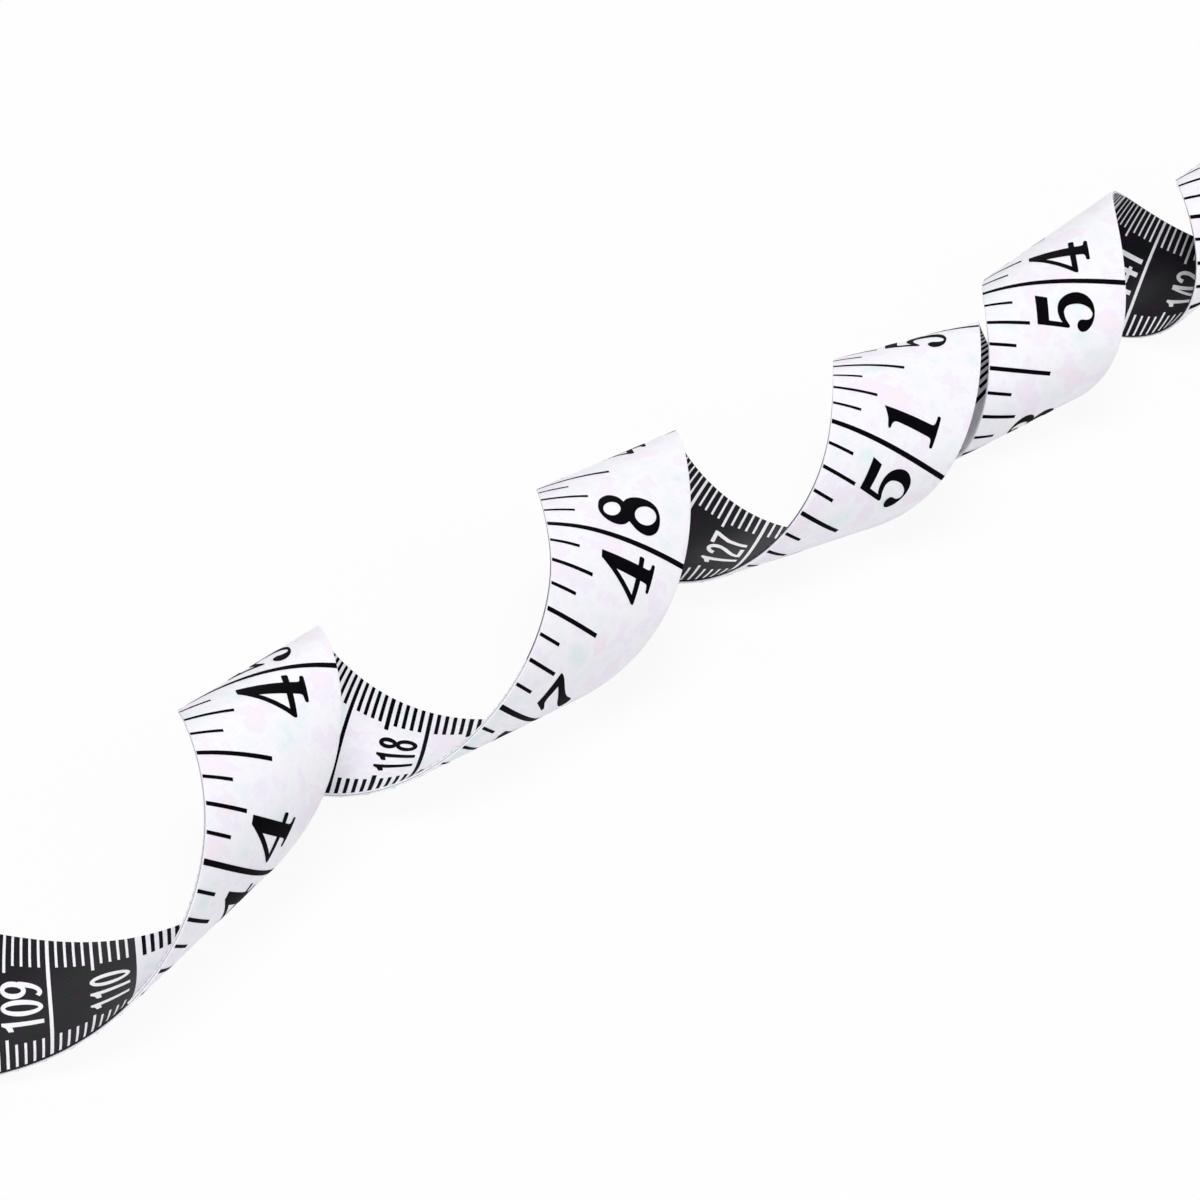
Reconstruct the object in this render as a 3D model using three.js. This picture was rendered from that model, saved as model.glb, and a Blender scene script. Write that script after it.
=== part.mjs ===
// A dressmaker's soft tape measure: one coated cloth ribbon with a crimped sheet-metal tip on each end.
// It lies in a loose left-handed spiral whose turns rest on the table (Z = 0). The end that starts at
// zero is rolled up, and the far end runs out flat on the table. X runs along the spiral, from the roll
// to the far end, -Y is the near side, and the origin is below the middle of the whole. Lengths are
// millimetres.

import * as THREE from 'three';

// The tape
const tapeLength = 1524;
const tapeWidth = 19;
const tapeThickness = 0.45;

// The level stretch past the spiral, which runs out straight on the table
const runOutLength = 38.3;

// The roll: air between its turns, the radius at which its first turn starts, and the flat that the
// rigid tip gives that turn
const rollAir = 0.45;
const coreRadius = 10.85;
const coreFlatDistance = 7;
const coreFlatBlend = 0.5;
const coreFlatReachShare = 0.2;

// Size of a middling turn of the spiral, which the places and sizes of all its turns are shares of
const turnSize = 20;

// One row for each turn, from the roll to the far end. The curve blends each row with its neighbours.
//   along    place of the turn's middle on X
//   topLean  how far its top leans along X; sideLean, how far its far side does
//   across   place of its middle on Y; middle, the height of its middle
//   width    its size on Y; height, its size on Z
// In the first five rows, where the tape is on the roll or leaves it, the last three are shares of the
// roll's diameter.
const firstRowTurn = -5;
const rollRowShares = [
  { along: -11.3, topLean: 0, sideLean: 0, across: -0.6, width: 1, middle: 0.56, height: 1 },
  { along: -11.3, topLean: 0, sideLean: 0, across: -0.6, width: 1, middle: 0.56, height: 1 },
  { along: -11.3, topLean: 0, sideLean: 0, across: -0.6, width: 1.03, middle: 0.56, height: 1.03 },
  { along: -11.3, topLean: 0, sideLean: 0, across: -0.6, width: 1.19, middle: 0.56, height: 1.19 },
  { along: -8.5, topLean: -0.15, sideLean: 0, across: -0.6, width: 1.38, middle: 0.91, height: 1.3 },
];
const turnRowShares = [
  { along: -5.95, topLean: 0.1, sideLean: -0.525, across: -0.775, width: 0.875, middle: 0.2, height: 0.625 },
  { along: -3.275, topLean: 0.225, sideLean: -0.075, across: -0.5, width: 1, middle: 0.75, height: 1.075 },
  { along: -0.475, topLean: 0.2, sideLean: -0.05, across: -0.375, width: 1.35, middle: 0.575, height: 1.175 },
  { along: 2.275, topLean: 0.15, sideLean: 0.275, across: -0.65, width: 0.9, middle: 0.55, height: 0.775 },
  { along: 3.75, topLean: -0.25, sideLean: 0.275, across: -0.525, width: 0.85, middle: 0.475, height: 0.9 },
  { along: 5.55, topLean: -0.25, sideLean: -0.1, across: -0.6, width: 1.05, middle: 0.825, height: 0.95 },
  { along: 7.675, topLean: 0.05, sideLean: 0.075, across: -1.3, width: 0.5, middle: 0.05, height: 0.65 },
  { along: 9.4, topLean: 0.25, sideLean: 0, across: -0.6, width: 1.075, middle: 0.3, height: 1.075 },
];

// The turn where the roll ends, and the turn near whose foot the spiral ends
const rollEndTurn = -3;
const runOutTurn = 5.52;

// The rows' heights are for the tape's middle surface, which lies this far above the table at its lowest
const restHeight = 0.3;

// End tips: sheet folded round the end of the tape, with crimp grooves pressed across both legs
const tipLength = 10;
const tipSheet = 0.3;
const tipOverWidth = 0.4;
const tipClearance = 0.25;
const crimpDepth = 0.12;
const crimpWidth = 1.2;
const crimpPlaceShares = [0.3, 0.62];
const foldSteps = 6;

// Gap kept between pieces that meet face to face
const faceGap = 0.3;

// Steps of the ribbon in each turn
const rollSteps = 24;
const spiralSteps = 32;

// Smallest step for slopes, as a share of a turn, and steps of the length measure in a turn
const slopeShare = 0.002;
const measureSteps = 240;
const searchRounds = 30;

// The gap measure looks at these places across the tape, on sections at least this many turns apart
const gapSideShares = [-0.5, -0.25, 0, 0.25, 0.5];
const gapTurnsApart = 0.4;

// Colours
const tapeColour = 0xece8f4;
const tipColour = 0xb9bcc2;

const turnAngle = 2 * Math.PI;

// A row's weight at a distance in turns: a smooth bump that is 0 from two turns away
function rowWeight(distance) {
  const d = Math.abs(distance);
  if (d >= 2) return 0;
  if (d >= 1) return (2 - d) ** 3 / 6;
  return 2 / 3 - d * d + (d * d * d) / 2;
}

// The rows in millimetres, for a roll of one diameter
function sizedRows(rollDiameter) {
  const sizedRow = (row, loopSize) => ({
    along: row.along * turnSize,
    topLean: row.topLean * turnSize,
    sideLean: row.sideLean * turnSize,
    across: row.across * turnSize,
    width: row.width * loopSize,
    middle: row.middle * loopSize,
    height: row.height * loopSize,
  });
  return [
    ...rollRowShares.map((row) => sizedRow(row, rollDiameter)),
    ...turnRowShares.map((row) => sizedRow(row, turnSize)),
  ];
}

// Length of a line between two turns, measured on points
function lineLength(point, from, to) {
  const steps = Math.max(1, Math.ceil(Math.abs(to - from) * measureSteps));
  let length = 0;
  let last = point(from);
  for (let i = 1; i <= steps; i++) {
    const next = point(from + ((to - from) * i) / steps);
    length += next.distanceTo(last);
    last = next;
  }
  return length;
}

const rollPitch = tapeThickness + rollAir;

// Half of the core's flat as an angle, which gives it the tip's length
const coreFlatHalf = Math.atan(tipLength / 2 / coreFlatDistance);

// The tape's middle line for a roll of one diameter. Whole turns are at the top, and the tape then goes
// down the far side. The roll is a flat winding that carries on inward from where the spiral leaves it.
function tapeLines(rollDiameter) {
  const rows = sizedRows(rollDiameter);
  const rowSize = (name, turn) => {
    let total = 0;
    let weights = 0;
    rows.forEach((row, i) => {
      const weight = rowWeight(turn - firstRowTurn - i);
      total += weight * row[name];
      weights += weight;
    });
    return total / weights;
  };

  const spiralPoint = (turn) => {
    const up = Math.cos(turnAngle * turn);
    const far = Math.sin(turnAngle * turn);
    return new THREE.Vector3(
      rowSize('along', turn) + rowSize('topLean', turn) * up + rowSize('sideLean', turn) * far,
      rowSize('across', turn) + (rowSize('width', turn) / 2) * far,
      restHeight + rowSize('middle', turn) + (rowSize('height', turn) / 2) * up,
    );
  };

  const rollRadius = rowSize('width', rollEndTurn) / 2;
  const rollCentre = new THREE.Vector3(
    rowSize('along', rollEndTurn),
    rowSize('across', rollEndTurn),
    restHeight + rowSize('middle', rollEndTurn),
  );
  const startTurn = rollEndTurn - (rollRadius - coreRadius) / rollPitch;
  const rollPoint = (turn) => {
    let radius = rollRadius - rollPitch * (rollEndTurn - turn);
    const pastFlat = turnAngle * (turn - startTurn) - coreFlatHalf;
    if (pastFlat < turnAngle * coreFlatReachShare) {
      // the tip draws the start of the first turn in to a flat
      const flat = coreFlatDistance / Math.cos(pastFlat);
      radius = flat - coreFlatBlend * Math.log(1 + Math.exp((flat - radius) / coreFlatBlend));
    }
    return new THREE.Vector3(
      rollCentre.x,
      rollCentre.y + radius * Math.sin(turnAngle * turn),
      rollCentre.z + radius * Math.cos(turnAngle * turn),
    );
  };

  const woundLength = lineLength(rollPoint, startTurn, rollEndTurn);
  const spiralLength = lineLength(spiralPoint, rollEndTurn, runOutTurn);
  return { spiralPoint, rollPoint, rollRadius, startTurn, length: woundLength + spiralLength };
}

// The roll grows until it holds all of the tape that the spiral and the run-out leave
let rollDiameter = 2 * coreRadius;
let step = rollDiameter;
for (let i = 0; i < searchRounds; i++) {
  if (tapeLines(rollDiameter + step).length + runOutLength < tapeLength) rollDiameter += step;
  step /= 2;
}
const { spiralPoint, rollPoint, rollRadius, startTurn } = tapeLines(rollDiameter);

// Directions of a line at a turn: tangent, the normal to its hollow side, and the third
function lineFrame(point, turn) {
  const before = point(turn - slopeShare);
  const here = point(turn);
  const after = point(turn + slopeShare);
  const tangent = after.clone().sub(before).normalize();
  const normal = after.clone().add(before).sub(here).sub(here);
  normal.addScaledVector(tangent, -normal.dot(tangent)).normalize();
  return { tangent, normal, side: tangent.clone().cross(normal) };
}

// A section of the ribbon: its middle, the normal of its face, and the straight line across its face,
// which leans along the tape as it does on any flat strip that is wound on the slant
function ribbonSection(point, turn) {
  const { normal, side } = lineFrame(point, turn);
  const before = lineFrame(point, turn - slopeShare).normal;
  const after = lineFrame(point, turn + slopeShare).normal;
  const across = normal.clone().cross(after.sub(before));
  across.divideScalar(across.dot(side));
  return { turn, middle: point(turn), normal, across };
}

// Sections from one turn to another
function ribbonSections(point, from, to, stepsPerTurn) {
  const count = Math.ceil((to - from) * stepsPerTurn);
  const sections = [];
  for (let i = 0; i <= count; i++) sections.push(ribbonSection(point, from + ((to - from) * i) / count));
  return sections;
}

// Corners of a section: round the ribbon, as seen looking back along it
function sectionCorners({ middle, normal, across }) {
  const half = tapeWidth / 2;
  const skin = tapeThickness / 2;
  return [
    [half, skin],
    [half, -skin],
    [-half, -skin],
    [-half, skin],
  ].map(([side, rise]) => middle.clone().addScaledVector(across, side).addScaledVector(normal, rise));
}

// A closed body through rings of the same number of corners
function loft(rings) {
  const corners = rings[0].length;
  const positions = rings.flat().flatMap((p) => [p.x, p.y, p.z]);
  const index = [];
  for (let r = 0; r + 1 < rings.length; r++) {
    for (let c = 0; c < corners; c++) {
      const a = r * corners + c;
      const b = r * corners + ((c + 1) % corners);
      index.push(a, b, b + corners, a, b + corners, a + corners);
    }
  }
  const last = (rings.length - 1) * corners;
  for (let c = 1; c + 1 < corners; c++) {
    index.push(0, c + 1, c);
    index.push(last, last + c, last + c + 1);
  }
  const geometry = new THREE.BufferGeometry();
  geometry.setAttribute('position', new THREE.Float32BufferAttribute(positions, 3));
  geometry.setIndex(index);
  return geometry;
}

// The level run-out: it goes on from the spiral's end, straight, at the height that rests its tip
const tipHalfHeight = tapeThickness / 2 + tipClearance + tipSheet;
const runOutFrame = lineFrame(spiralPoint, runOutTurn);
const runOutTangent = runOutFrame.tangent.clone().setZ(0).normalize();
const runOutNormal = new THREE.Vector3(0, 0, 1);
const runOutAcross = runOutTangent.clone().cross(runOutNormal);
const runOutStart = spiralPoint(runOutTurn).setZ(tipHalfHeight);

// A straight line across the tape can only follow the last leaning one from this far on
const lastSection = ribbonSection(spiralPoint, runOutTurn);
const lastLean = Math.abs(lastSection.across.dot(runOutFrame.tangent));
const runOutSquare = (tapeWidth / 2) * lastLean + faceGap;

function runOutSection(distance) {
  return {
    middle: runOutStart.clone().addScaledVector(runOutTangent, distance),
    normal: runOutNormal,
    across: runOutAcross,
  };
}

// The roll's square start, held in the zero tip
const coreFrame = lineFrame(rollPoint, startTurn + coreFlatHalf / turnAngle);

// Nodes of the tape: the roll, and the free spiral with its run-out. They meet at the roll's end.
const joinGapTurns = faceGap / (turnAngle * rollRadius);
const rollSections = ribbonSections(rollPoint, startTurn, rollEndTurn, rollSteps);
const curlSections = ribbonSections(spiralPoint, rollEndTurn + joinGapTurns, runOutTurn, spiralSteps);
const spiralSections = [...curlSections, runOutSection(runOutSquare), runOutSection(runOutLength)];

// Outline of a tip from the side: x along the tape from its cut end, y through it. The sheet goes out
// along one leg, round the fold and back, and each leg has its crimp grooves.
function tipOutline() {
  const inner = tapeThickness / 2 + tipClearance;
  const outer = inner + tipSheet;
  const foldCentre = -tipClearance;
  const leg = (sign, height) => {
    const points = [new THREE.Vector2(foldCentre, sign * height)];
    for (const share of crimpPlaceShares) {
      const x = share * tipLength;
      points.push(new THREE.Vector2(x - crimpWidth / 2, sign * height));
      points.push(new THREE.Vector2(x, sign * (height - crimpDepth)));
      points.push(new THREE.Vector2(x + crimpWidth / 2, sign * height));
    }
    points.push(new THREE.Vector2(tipLength, sign * height));
    return points;
  };
  const fold = (radius, from, to) => {
    const points = [];
    for (let i = 1; i < foldSteps; i++) {
      const angle = from + ((to - from) * i) / foldSteps;
      points.push(new THREE.Vector2(foldCentre + radius * Math.cos(angle), radius * Math.sin(angle)));
    }
    return points;
  };
  const quarter = turnAngle / 4;
  return new THREE.Shape([
    ...leg(1, outer).reverse(),
    ...fold(outer, quarter, 3 * quarter),
    ...leg(-1, outer),
    ...leg(-1, inner).reverse(),
    ...fold(inner, 3 * quarter, quarter),
    ...leg(1, inner),
  ]);
}

// A tip set on a cut end: along points from the cut into the tape
function tipMesh(name, cutMiddle, along, normal) {
  const length = tapeWidth + tipOverWidth;
  const geometry = new THREE.ExtrudeGeometry(tipOutline(), { depth: length, bevelEnabled: false });
  geometry.translate(0, 0, -length / 2);
  const mesh = new THREE.Mesh(geometry, tipMaterial);
  mesh.name = name;
  const basis = new THREE.Matrix4().makeBasis(along, normal, along.clone().cross(normal));
  mesh.quaternion.setFromRotationMatrix(basis);
  mesh.position.copy(cutMiddle);
  return mesh;
}

const tapeMaterial = new THREE.MeshStandardMaterial({ color: tapeColour, roughness: 0.55, metalness: 0 });
const tipMaterial = new THREE.MeshStandardMaterial({ color: tipColour, roughness: 0.35, metalness: 1 });

function tapeMesh(name, sections) {
  const mesh = new THREE.Mesh(loft(sections.map(sectionCorners)), tapeMaterial);
  mesh.name = name;
  return mesh;
}

// Least gap of the tape to itself, from point to point of sections that lie more than a part turn apart
function leastGap(sections) {
  const points = sections.flatMap(({ turn, middle, across }) => gapSideShares.map((share) => (
    { turn, at: middle.clone().addScaledVector(across, share * tapeWidth) }
  )));
  let least = Infinity;
  points.forEach((point, i) => {
    for (let j = i + 1; j < points.length; j++) {
      if (Math.abs(points[j].turn - point.turn) < gapTurnsApart) continue;
      least = Math.min(least, point.at.distanceTo(points[j].at));
    }
  });
  return least - tapeThickness;
}

const group = new THREE.Group();
group.add(tapeMesh('tape_roll', rollSections));
group.add(tapeMesh('tape_spiral', spiralSections));
group.add(tipMesh('zero_end_tip', rollPoint(startTurn), coreFrame.tangent, coreFrame.normal));
group.add(tipMesh(
  'far_end_tip',
  runOutSection(runOutLength).middle,
  runOutTangent.clone().negate(),
  runOutNormal,
));

// The part's origin is the middle of the bottom of its bounding box
const box = new THREE.Box3().setFromObject(group, true);
const origin = box.getCenter(new THREE.Vector3()).setZ(box.min.z);
group.children.forEach((mesh) => mesh.position.sub(origin));

console.log(`least gap of the tape to itself ${leastGap([...rollSections, ...curlSections]).toFixed(2)} mm`);

export default group;
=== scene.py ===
import math

import bpy
import numpy as np
from mathutils import Matrix, Vector
from mathutils.geometry import tessellate_polygon


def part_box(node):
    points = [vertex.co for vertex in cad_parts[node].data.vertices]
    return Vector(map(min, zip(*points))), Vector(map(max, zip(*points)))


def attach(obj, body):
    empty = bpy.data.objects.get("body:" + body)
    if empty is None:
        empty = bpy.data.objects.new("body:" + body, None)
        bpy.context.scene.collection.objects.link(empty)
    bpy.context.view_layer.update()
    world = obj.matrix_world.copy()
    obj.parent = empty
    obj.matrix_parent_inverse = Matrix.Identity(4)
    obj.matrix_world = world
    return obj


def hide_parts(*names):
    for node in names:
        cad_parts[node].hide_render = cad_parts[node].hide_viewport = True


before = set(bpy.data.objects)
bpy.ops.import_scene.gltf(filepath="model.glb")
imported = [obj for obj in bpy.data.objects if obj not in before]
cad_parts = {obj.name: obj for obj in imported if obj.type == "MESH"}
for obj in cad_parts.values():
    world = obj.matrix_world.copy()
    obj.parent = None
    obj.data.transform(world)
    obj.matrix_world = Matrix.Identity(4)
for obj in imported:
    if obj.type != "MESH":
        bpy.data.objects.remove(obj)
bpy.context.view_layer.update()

# Sizes are in millimetres until a mesh is made
MM = 0.001

# The tape
TAPE_LENGTH = 1524
TAPE_WIDTH = 19
TAPE_THICKNESS = 0.45
RUN_OUT_LENGTH = 37.6

# The roll. Its core is drawn flat where the stiff tip lies in it.
ROLL_AIR = 0.45
CORE_RADIUS = 10.85
CORE_FLAT_DISTANCE = 7
CORE_FLAT_BLEND = 0.5
CORE_FLAT_REACH_SHARE = 0.2
TIP_LENGTH = 10
TIP_SHEET = 0.3
TIP_CLEARANCE = 0.25

# Rows of the spiral, one for each half turn: place along, lean of the top, lean of the side, place
# across, width, height of the middle, height. The place columns are shares of the turn's size. The loop
# columns are shares of the roll's diameter in the roll's rows, and of the turn's size in the others.
TURN_SIZE = 20
FIRST_ROW_TURN = -3.5
ROW_TURNS = 0.5
ROLL_END_TURN = -3
RUN_OUT_TURN = 5.52
REST_HEIGHT = 0.3
FLOOR_CLEARANCE = 0.05
ROLL_ROW_SHARES = [
    (-11.3, 0, 0, -0.6, 1.015, 0.56, 1.015),
    (-11.3, 0, 0, -0.6, 1.045, 0.56, 1.045),
    (-11.3, 0, 0, -0.6, 1.11, 0.56, 1.11),
    (-10.95, -0.02, 0, -0.6, 1.195, 0.605, 1.185),
    (-9.9, -0.08, 0, -0.6, 1.285, 0.735, 1.245),
    (-8.53, -0.1, -0.07, -0.62, 1.25, 0.765, 1.17),
]
TURN_ROW_SHARES = [
    (-7.25, -0.08, -0.32, -0.7, 1.61, 0.8, 1.39),
    (-5.95, 0, -0.37, -0.78, 1.07, 0.37, 0.85),
    (-4.67, 0.1, -0.22, -0.64, 0.85, 0.48, 0.9),
    (-3.24, 0.18, -0.26, -0.51, 1.03, 0.67, 1.08),
    (-1.85, 0.3, 0.02, -0.44, 1.07, 0.69, 1.16),
    (-0.44, 0.06, 0.01, -0.52, 1.19, 0.56, 1.04),
    (0.97, 0.28, 0, -0.35, 1.14, 0.6, 1.07),
    (1.98, 0.12, 0.3, -0.75, 1, 0.57, 0.85),
    (2.86, -0.05, 0.25, -0.58, 0.74, 0.37, 0.86),
    (3.72, -0.21, 0.17, -0.61, 0.93, 0.6, 0.86),
    (4.64, -0.24, 0.1, -0.56, 0.98, 0.62, 0.93),
    (5.61, -0.23, -0.04, -0.63, 0.92, 0.69, 0.98),
    (6.64, -0.08, -0.04, -0.93, 0.77, 0.43, 0.77),
    (7.62, 0.04, 0.04, -1.12, 0.64, 0.2, 0.74),
    (8.54, 0.15, 0.04, -0.95, 0.79, 0.2, 0.86),
]
PLACE_COLUMNS = np.array([1, 1, 1, 1, 0, 0, 0])
LOOP_COLUMNS = 1 - PLACE_COLUMNS

TURN = 2 * math.pi


# The tape's middle line
LENGTH_SAMPLES = 240
HALVINGS = 30


def row_weight(distance):
    """A row's weight at a distance in rows: a smooth bell that reaches two rows to each side."""
    d = np.abs(distance)
    near = 2 / 3 - d * d + d ** 3 / 2
    return np.where(d >= 2, 0, np.where(d >= 1, (2 - d) ** 3 / 6, near))


class TapeLine:
    """The middle line of the roll and the spiral, for one diameter of roll."""

    def __init__(self, roll_diameter):
        places = PLACE_COLUMNS * TURN_SIZE
        self.rows = np.array(
            [np.array(row) * (places + LOOP_COLUMNS * roll_diameter) for row in ROLL_ROW_SHARES]
            + [np.array(row) * (places + LOOP_COLUMNS * TURN_SIZE) for row in TURN_ROW_SHARES]
        )
        end = self.sizes(np.array([ROLL_END_TURN]))[0]
        self.roll_radius = end[4] / 2
        self.roll_centre = np.array([end[0], end[3], REST_HEIGHT + end[5]])
        self.pitch = TAPE_THICKNESS + ROLL_AIR
        self.start = ROLL_END_TURN - (self.roll_radius - CORE_RADIUS) / self.pitch

    def sizes(self, turn):
        """The blended row at each turn."""
        weights = row_weight((turn[:, None] - FIRST_ROW_TURN) / ROW_TURNS - np.arange(len(self.rows)))
        return (weights @ self.rows) / weights.sum(1)[:, None]

    def spiral(self, turn):
        along, top, side, across, width, middle, height = self.sizes(turn).T
        up, far = np.cos(TURN * turn), np.sin(TURN * turn)
        return np.stack([
            along + top * up + side * far,
            across + width / 2 * far,
            REST_HEIGHT + middle + height / 2 * up,
        ], 1)

    def roll(self, turn):
        radius = self.roll_radius - self.pitch * (ROLL_END_TURN - turn)
        past = TURN * (turn - self.start) - math.atan(TIP_LENGTH / 2 / CORE_FLAT_DISTANCE)
        at_flat = past < TURN * CORE_FLAT_REACH_SHARE
        flat = CORE_FLAT_DISTANCE / np.cos(np.where(at_flat, past, 0))
        drawn = flat - CORE_FLAT_BLEND * np.log1p(np.exp((flat - radius) / CORE_FLAT_BLEND))
        radius = np.where(at_flat, drawn, radius)
        x, y, z = self.roll_centre
        return np.stack([
            np.full(len(turn), x),
            y + radius * np.sin(TURN * turn),
            z + radius * np.cos(TURN * turn),
        ], 1)

    def length(self):
        total = 0
        for line, start, end in ((self.roll, self.start, ROLL_END_TURN),
                                 (self.spiral, ROLL_END_TURN, RUN_OUT_TURN)):
            points = line(np.linspace(start, end, int(math.ceil((end - start) * LENGTH_SAMPLES)) + 1))
            total += np.linalg.norm(np.diff(points, axis=0), axis=1).sum()
        return total


def fitted_line():
    """The roll grows until it holds all the tape that the spiral and the run-out leave."""
    diameter = step = 2 * CORE_RADIUS
    for _ in range(HALVINGS):
        if TapeLine(diameter + step).length() + RUN_OUT_LENGTH < TAPE_LENGTH:
            diameter += step
        step /= 2
    return TapeLine(diameter)


def unit(vectors):
    """Each row brought to length 1."""
    return vectors / np.linalg.norm(vectors, axis=1)[:, None]


def smooth(values, reach):
    """Running mean, with the ends held."""
    padded = np.concatenate([np.repeat(values[:1], reach), values, np.repeat(values[-1:], reach)])
    sums = np.cumsum(np.concatenate([[0], padded]))
    return (sums[2 * reach + 1:] - sums[:-2 * reach - 1]) / (2 * reach + 1)


def ease(share):
    """From 0 to 1, level at both ends."""
    share = np.clip(share, 0, 1)
    return share * share * (3 - 2 * share)


# Lengths along the tape: what the photograph's frame shows, and how much of the run-out the last
# turn's tilt and lean take to die out
FRAME_START, FRAME_END = 1078, 1436
TILT_LENGTH = 20
LEAN_LENGTH = 32


class Ribbon:
    """The tape as a flat strip wound along its line. A place on it is (s, v): the length from zero,
    and the distance across from the middle, towards the edge with the inch ticks."""

    STEP = 0.2
    ROLL_SAMPLES = 600
    SPIRAL_SAMPLES = 6000
    PLACE_ROUNDS = 12

    # how far the running means reach, in steps
    BEND_REACH = 3
    LEAN_REACH = 12
    ROLL_JOIN_REACH = 10
    CALM_REACH = 40
    RAISE_REACH = 30
    RAISE_BLEND_REACH = 15

    # bounds of the lean, and the length over which it grows calm beyond the frame
    LEAN_LIMIT = 2
    LEAST_TWIST = 1e-6
    CALM_BLEND = 12

    def __init__(self):
        line = fitted_line()
        half = TAPE_THICKNESS / 2
        roll = line.roll(np.arange(line.start, ROLL_END_TURN, 1 / self.ROLL_SAMPLES))
        curl = line.spiral(np.linspace(ROLL_END_TURN, RUN_OUT_TURN, self.SPIRAL_SAMPLES))
        points = np.concatenate([roll, curl])
        lengths = np.concatenate([[0], np.cumsum(np.linalg.norm(np.diff(points, axis=0), axis=1))])
        self.bend_end = lengths[-1]
        # the line in even steps, and its tangent and normal
        count = int(round(self.bend_end / self.STEP))
        s = np.linspace(0, self.bend_end, count + 1)
        x = np.stack([np.interp(s, lengths, points[:, k]) for k in range(3)], 1)
        step = s[1]
        tangent = unit(np.gradient(x, step, axis=0))
        turning = np.gradient(tangent, step, axis=0)
        for k in range(3):
            turning[:, k] = smooth(turning[:, k], self.BEND_REACH)
        normal = unit(turning - (turning * tangent).sum(1)[:, None] * tangent)
        side = np.cross(tangent, normal)
        # a bent flat strip is straight along the axis that its normal turns about
        ruling = np.cross(normal, np.gradient(normal, step, axis=0))
        size = (ruling * side).sum(1)
        size = np.where(np.abs(size) < self.LEAST_TWIST, self.LEAST_TWIST, size)
        lean = np.clip((ruling * tangent).sum(1) / size, -self.LEAN_LIMIT, self.LEAN_LIMIT)
        lean = smooth(lean, self.LEAN_REACH)
        # in the roll the tape is wound square
        rolled = np.interp(s, [0, lengths[len(roll)]], [0, 1]) < 1
        lean = smooth(np.where(rolled, 0, lean), self.ROLL_JOIN_REACH)
        # beyond the photograph's frame the lean changes slowly, so that the print keeps its spacing
        calm = lean
        for _ in range(3):
            calm = smooth(calm, self.CALM_REACH)
        unseen = np.maximum(FRAME_START - s, s - FRAME_END) / self.CALM_BLEND
        lean += (calm - lean) * ease(unseen)
        # the run-out: straight and level, with the last turn's tilt and lean taken out gradually
        heading = tangent[-1] * np.array([1, 1, 0])
        heading /= np.linalg.norm(heading)
        tip_half = half + TIP_CLEARANCE + TIP_SHEET
        extra = np.arange(1, int(round((TAPE_LENGTH - self.bend_end) / self.STEP)) + 1)
        run = extra * (TAPE_LENGTH - self.bend_end) / extra[-1]
        last = x[-1].copy()
        drop = tip_half - last[2]
        share = np.clip(run / TILT_LENGTH, 0, 1)
        level = ease(share)
        straight = last + heading * run[:, None]
        straight[:, 2] += drop * level + tangent[-1, 2] * TILT_LENGTH * share * (1 - share) ** 2
        flat_normal = np.array([0, 0, 1.0])
        run_normal = unit(normal[-1] * (1 - level)[:, None] + flat_normal * level[:, None])
        self.s = np.concatenate([s, s[-1] + run])
        self.x = np.concatenate([x, straight])
        self.tangent = np.concatenate([tangent, unit(np.gradient(straight, axis=0))])
        normal = np.concatenate([normal, run_normal])
        self.normal = unit(normal - (normal * self.tangent).sum(1)[:, None] * self.tangent)
        self.lean = np.concatenate([lean, lean[-1] * (1 - ease(run / LEAN_LENGTH))])
        self.across = np.cross(self.tangent, self.normal) + self.lean[:, None] * self.tangent
        # no edge dips under the floor where the tape lies down
        lowest = self.x[:, 2] - np.abs(self.across[:, 2]) * TAPE_WIDTH / 2 - half
        raised = np.maximum(FLOOR_CLEARANCE - lowest, 0)
        shifts = range(-self.RAISE_REACH, self.RAISE_REACH + 1)
        raised = np.max([np.roll(raised, shift) for shift in shifts], axis=0)
        self.x[:, 2] += smooth(raised, self.RAISE_BLEND_REACH)
        self.end = straight[-1]
        self.heading = heading

    def at(self, s, v, lift):
        """Points of the ribbon, lifted towards its hollow side."""
        # the ruling through the place leaves the middle line at q
        q = s
        for _ in range(self.PLACE_ROUNDS):
            q = s - v * np.interp(q, self.s, self.lean)
        over = np.where(q > self.s[-1], q - self.s[-1], 0) + np.where(q < 0, q, 0)

        def pick(values):
            return np.stack([np.interp(q, self.s, values[:, k]) for k in range(3)], -1)

        normal = pick(self.normal)
        normal /= np.linalg.norm(normal, axis=-1)[..., None]
        return (pick(self.x) + v[..., None] * pick(self.across) + lift[..., None] * normal
                + over[..., None] * pick(self.tangent))


ribbon = Ribbon()

# Where the tape lies in the frame, read from the far tip's box
low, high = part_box("far_end_tip")
tip_middle = ribbon.end - ribbon.heading * (TIP_LENGTH - TIP_CLEARANCE - TIP_SHEET) / 2
SHIFT = np.array([(low.x + high.x) / 2 / MM - tip_middle[0],
                  (low.y + high.y) / 2 / MM - tip_middle[1], 0])


def placed(points):
    """Millimetres of the tape's own frame to metres of the scene."""
    return (points + SHIFT) * MM


# Camera
SENSOR_WIDTH = 36
PHOTO_WIDTH = 1200
PIXELS_PER_MM = 7.856
CAMERA_DISTANCE = 438.6
CAMERA_TARGET = np.array([0, 0, -3.2])
CLIP_NEAR, CLIP_FAR = 0.01, 50


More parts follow.
